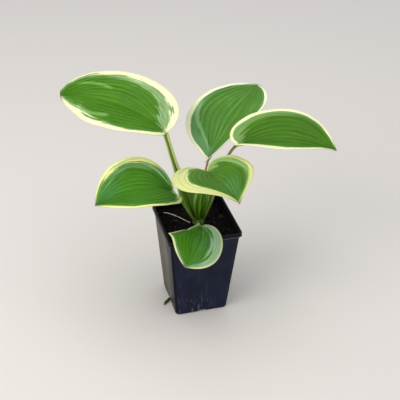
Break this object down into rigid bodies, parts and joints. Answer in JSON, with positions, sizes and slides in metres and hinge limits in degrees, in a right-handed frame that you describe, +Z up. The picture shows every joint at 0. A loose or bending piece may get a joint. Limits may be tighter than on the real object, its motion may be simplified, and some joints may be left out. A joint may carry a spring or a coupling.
{
  "type": "potted variegated hosta plant",
  "caption": "Young variegated hosta with cream-edged heart-shaped leaves on grooved stalks, growing in a square tapered nursery pot.",
  "frame": {"origin": "middle of the pot's flat underside, on the surface it stands on", "axes": "+Z up; the pot's sides run along X and Y, and the small low leaf hangs over the -Y rim"},
  "size_m": [0.2902, 0.2414, 0.2652],
  "materials": {
    "pot_plastic": "satin",
    "potting_soil": "matte",
    "crown_skin": "matte",
    "root_skin": "matte",
    "dry_straw": "matte",
    "leaf_stalk": "satin",
    "leaf_blade": "satin"
  },
  "bodies": {
    "root": {"pot": "pot_plastic", "soil": "potting_soil", "crown": "crown_skin", "root_to_slot": "root_skin", "root_front": "root_skin", "root_right": "root_skin", "root_back": "root_skin", "dry_strand": "dry_straw", "stalk_back_left": "leaf_stalk", "stalk_back_right": "leaf_stalk", "stalk_right": "leaf_stalk", "stalk_left": "leaf_stalk", "stalk_front": "leaf_stalk", "stalk_low_front": "leaf_stalk", "blade_back_left": "leaf_blade", "blade_back_right": "leaf_blade", "blade_right": "leaf_blade", "blade_left": "leaf_blade", "blade_front": "leaf_blade", "blade_low_front": "leaf_blade"}
  },
  "joints": []
}
